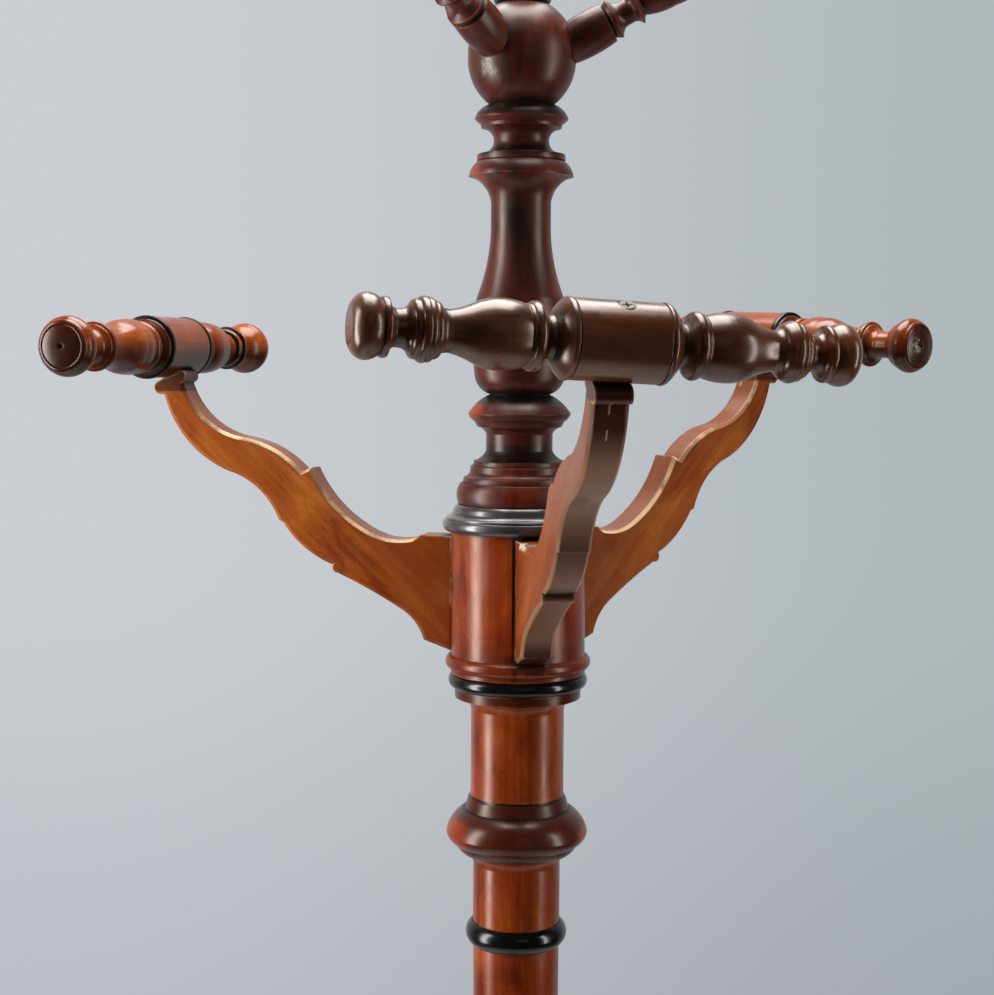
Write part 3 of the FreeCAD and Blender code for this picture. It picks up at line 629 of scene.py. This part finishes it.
def bracket_touch(name):
    """Darker and redder towards the column, and a painted shadow of the bar on the capital; the front
    board is dulled.
    """
    azimuth = azimuth_of(name)
    side = (-math.sin(azimuth), math.cos(azimuth), 0.0)
    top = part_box(name)[1].z

    def touch(tree, place, colour):
        radius = add_radius(tree, place)
        height = add_height(tree, place)
        across = add_math(tree, "ABSOLUTE", add_vector(tree, "DOT_PRODUCT", place, side))
        reddened = add_range(tree, radius, root_span, falling)
        if name == "bracket_front":
            colour = stain(tree, colour, dull_brown, add_range(tree, radius, dulled_span, dulled_shares))
            colour = stain(tree, colour, root_red, reddened, root_share)
            colour = front_edge_touch(tree, place, colour, across, height, top)
        else:
            colour = stain(tree, colour, root_red, reddened, root_share)
            colour = upper_edge_touch(tree, place, colour, across)
        if name == "bracket_left":
            colour = stain(tree, colour, soot_and_shadow, add_spot(tree, place, board_hole))
        # Painted shadow of the bar on the capital
        capital = add_range(tree, height, [top - depth for depth in capital_shade_depths])
        return stain(tree, colour, shade_and_dark_stain, capital, capital_shade_share)
    return touch


def drum_touch(tree, place, colour):
    """Open seams beside the boards, a darker and redder foot, painted shade with grime on the bead and
    pale specks.
    """
    for name in ("bracket_front", "bracket_right", "bracket_left"):
        azimuth = azimuth_of(name)
        across = add_vector(tree, "DOT_PRODUCT", place, (math.sin(azimuth), -math.cos(azimuth), 0.0))
        ahead = add_vector(tree, "DOT_PRODUCT", place, (math.cos(azimuth), math.sin(azimuth), 0.0))
        seam = add_band(tree, across, seam_across, seam_across_soft)
        colour = stain(tree, colour, seam_dark, seam, add_range(tree, ahead, seam_ahead_span))
    foot_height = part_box("bracket_drum")[0].z
    foot_span = [foot_height + rise for rise in foot_rises]
    foot = add_range(tree, add_height(tree, place), foot_span, falling)
    colour = stain(tree, colour, root_red, foot, foot_share)
    # Painted shade with some grime on the bead under the front board
    colour = stain(tree, colour, shade_and_dark_stain, add_spot(tree, place, bead_shade_and_grime), bead_shade_and_grime_share)
    specked = add_range(tree, add_noise(tree, place, "speck"), speck_span, speck_shares)
    return stain(tree, colour, speck_pale, add_spot(tree, place, drum_specks), specked)


def shaft_touch(tree, place, colour):
    """The collar and the flange are stained darker than the plain neck; the collar's rim is worn."""
    height = add_height(tree, place)
    collar = add_band(tree, height, collar_heights, collar_soft)
    colour = stain(tree, colour, collar_red, collar, collar_share)
    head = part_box("middle_shaft")[1].z
    high_up = add_range(tree, height, [head - depth for depth in flange_depths])
    flange = add_math(tree, "MULTIPLY", high_up, add_range(tree, add_radius(tree, place), flange_radii))
    colour = stain(tree, colour, collar_red, flange, flange_share)
    for mark in collar_wear:
        colour = stain(tree, colour, worn_orange, add_spot(tree, place, mark), collar_wear_share)
    for line in collar_lines:
        colour = stain(tree, colour, seam_dark, add_band(tree, height, line, collar_line_soft))
    return colour


def crown_touch(tree, place, colour):
    """Black grime on the mouldings, worn rings and a smudge on the neck."""
    height = add_height(tree, place)
    for band in crown_grime_bands:
        grime_and_shade = add_band(tree, height, band, crown_grime_soft)
        colour = stain(tree, colour, soot_and_shadow, grime_and_shade, crown_grime_share)
    for mark in ring_wear:
        colour = stain(tree, colour, worn_orange, add_spot(tree, place, mark), ring_wear_share)
    return stain(tree, colour, soot_and_shadow, add_spot(tree, place, neck_smudge), neck_smudge_share)


def ball_touch(tree, place, colour):
    """A filled chip and a worm hole."""
    filled = add_range(tree, add_noise(tree, place, "filler", filler_turn), filler_span, filler_shares)
    colour = stain(tree, colour, filler_pale, add_spot(tree, place, ball_chip), filled)
    return stain(tree, colour, soot_and_shadow, add_spot(tree, place, ball_hole))


touches = {
    "hanger_bar_right": side_bar_touch("hanger_bar_right"),
    "hanger_bar_left": side_bar_touch("hanger_bar_left"),
    "hanger_bar_front": front_bar_touch,
    "bracket_front": bracket_touch("bracket_front"),
    "bracket_right": bracket_touch("bracket_right"),
    "bracket_left": bracket_touch("bracket_left"),
    "bracket_drum": drum_touch,
    "middle_shaft": shaft_touch,
    "crown_column": crown_touch,
    "peg_ball": ball_touch,
}


def dress_nodes():
    """Gives each node a finish by its slot, with a figure of its own."""
    slots = {row["node"]: row["material_slot"] for row in frame["record"]["subparts"]}
    for index, name in enumerate(sorted(nodes)):
        if slots[name] == "screw_steel":
            material = screw_material()
        else:
            wood = woods[own_woods.get(name, slots[name])]
            offset = [shift * index for shift in grain_shift]
            touch = touches.get(name, plain_touch)
            material = wood_material(name + "_finish", wood, grain_turn(name), offset, touch)
        nodes[name].data.materials.clear()
        nodes[name].data.materials.append(material)


def place_camera():
    camera = bpy.data.objects.new("camera", bpy.data.cameras.new("camera"))
    scene.collection.objects.link(camera)
    camera.data.sensor_width = camera_sensor
    camera.data.lens = camera_lens
    turn = math.radians(camera_turn)
    stand = Vector((camera_distance * math.sin(turn), -camera_distance * math.cos(turn), camera_height))
    heading = Matrix.Rotation(turn + math.radians(camera_yaw), 4, "Z")
    tilt = Matrix.Rotation(math.pi / 2 - math.radians(camera_pitch), 4, "X")
    roll = Matrix.Rotation(math.radians(camera_roll), 4, "Z")
    camera.matrix_world = Matrix.Translation(stand) @ heading @ tilt @ roll
    scene.camera = camera


def place_lights():
    target = Vector((0.0, 0.0, light_target_height))
    for name, box in softboxes.items():
        light = bpy.data.lights.new(name, "AREA")
        light.shape = "RECTANGLE"
        light.size, light.size_y = box["size"]
        light.energy = box["power"]
        lamp = bpy.data.objects.new(name, light)
        scene.collection.objects.link(lamp)
        turn = math.radians(camera_turn + box["turn"])
        lamp.location = (box["away"] * math.sin(turn), -box["away"] * math.cos(turn), box["height"])
        lamp.rotation_euler = (target - lamp.location).to_track_quat("-Z", "Y").to_euler()
        lamp.visible_camera = False


def make_world():
    """Even light for the surfaces, and a pale grey backdrop for the camera and for reflections."""
    world = bpy.data.worlds.new("studio")
    scene.world = world
    world.use_nodes = True
    tree = world.node_tree
    way = add_node(tree, "ShaderNodeTexCoord", {}).outputs["Generated"]
    path = add_node(tree, "ShaderNodeLightPath", {}).outputs
    turn = math.radians(camera_turn)
    far = add_vector(tree, "DOT_PRODUCT", way, (-math.sin(turn), math.cos(turn), 0.0))
    left = add_vector(tree, "DOT_PRODUCT", way, (-math.cos(turn), -math.sin(turn), 0.0))

    # Backdrop: lighter on the left as a painted fall of light, and shaded by height
    paint = add_mix(tree, add_range(tree, left, backdrop_left_span), backdrop_right, backdrop_left)
    raised = add_range(tree, add_height(tree, way), shade_height_span)
    tone = add_mix(tree, 1.0, paint, add_mix(tree, raised, shade_low, shade_high), "MULTIPLY")
    mirrored = add_range(tree, far, backdrop_far_span, (backdrop_near_share, 1.0))
    strength = add_math(tree, "MAXIMUM", mirrored, path["Is Camera Ray"])
    backdrop = add_node(tree, "ShaderNodeBackground", {"Color": tone, "Strength": strength})

    # Even light
    ambient = tree.nodes["Background"]
    ambient_strength = add_range(tree, far, ambient_far_span, ambient_strengths)
    fill(tree, ambient, {"Color": ambient_tint, "Strength": ambient_strength})

    # The backdrop is for rays from the camera, from a reflection or through glass
    looked_at = add_math(tree, "MAXIMUM", path["Is Camera Ray"], path["Is Transmission Ray"])
    looked_at = add_math(tree, "MAXIMUM", looked_at, path["Is Glossy Ray"])
    shaders = {0: looked_at, 1: ambient.outputs[0], 2: backdrop.outputs[0]}
    mixed = add_node(tree, "ShaderNodeMixShader", shaders)
    fill(tree, tree.nodes["World Output"], {"Surface": mixed.outputs[0]})


def make_floor():
    """Pale round floor that fades out into the backdrop."""
    mesh = bpy.data.meshes.new("floor")
    angles = [2 * math.pi * step / floor_steps for step in range(floor_steps)]
    rim = [(floor_radius * math.cos(angle), floor_radius * math.sin(angle), 0) for angle in angles]
    mesh.from_pydata(rim, [], [list(range(floor_steps))])
    floor = bpy.data.objects.new("floor", mesh)
    scene.collection.objects.link(floor)
    material, tree, shader = new_material("floor_paint")
    place = add_place(tree)
    paint = add_mix(tree, add_noise(tree, place, "cloud"), floor_dark, floor_light)
    fade = add_range(tree, add_radius(tree, place), (floor_fade, floor_radius), falling)
    fill(tree, shader, {"Base Color": paint, "Roughness": floor_roughness, "Alpha": fade})
    mesh.materials.append(material)


scene.view_settings.view_transform = "Standard"
dress_nodes()
place_camera()
place_lights()
make_world()
make_floor()
